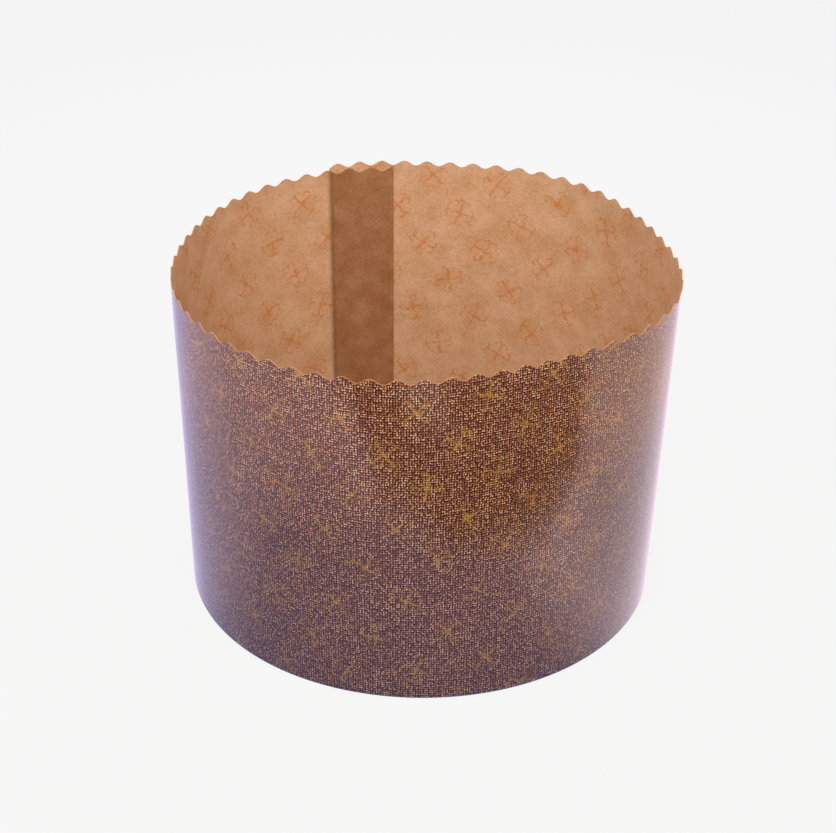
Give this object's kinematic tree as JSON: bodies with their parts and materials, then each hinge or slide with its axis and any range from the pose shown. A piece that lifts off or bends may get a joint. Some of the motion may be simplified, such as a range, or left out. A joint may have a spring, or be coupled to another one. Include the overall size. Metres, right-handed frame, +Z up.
{
  "type": "panettone paper baking mold",
  "caption": "Round paper baking mold with a scalloped rim, dark printed outside and plain kraft inside.",
  "frame": {"origin": "centre of the base, on the surface that the mold stands on", "axes": "+Z up through the open rim, -Y towards the front, so that the lap seam is at the back, left of the middle"},
  "size_m": [0.1355, 0.1327, 0.0973],
  "materials": {
    "printed_kraft": "satin print",
    "plain_kraft": "matt uncoated"
  },
  "bodies": {
    "root": {"side_wall": "printed_kraft", "base_disc": "plain_kraft"}
  },
  "joints": []
}
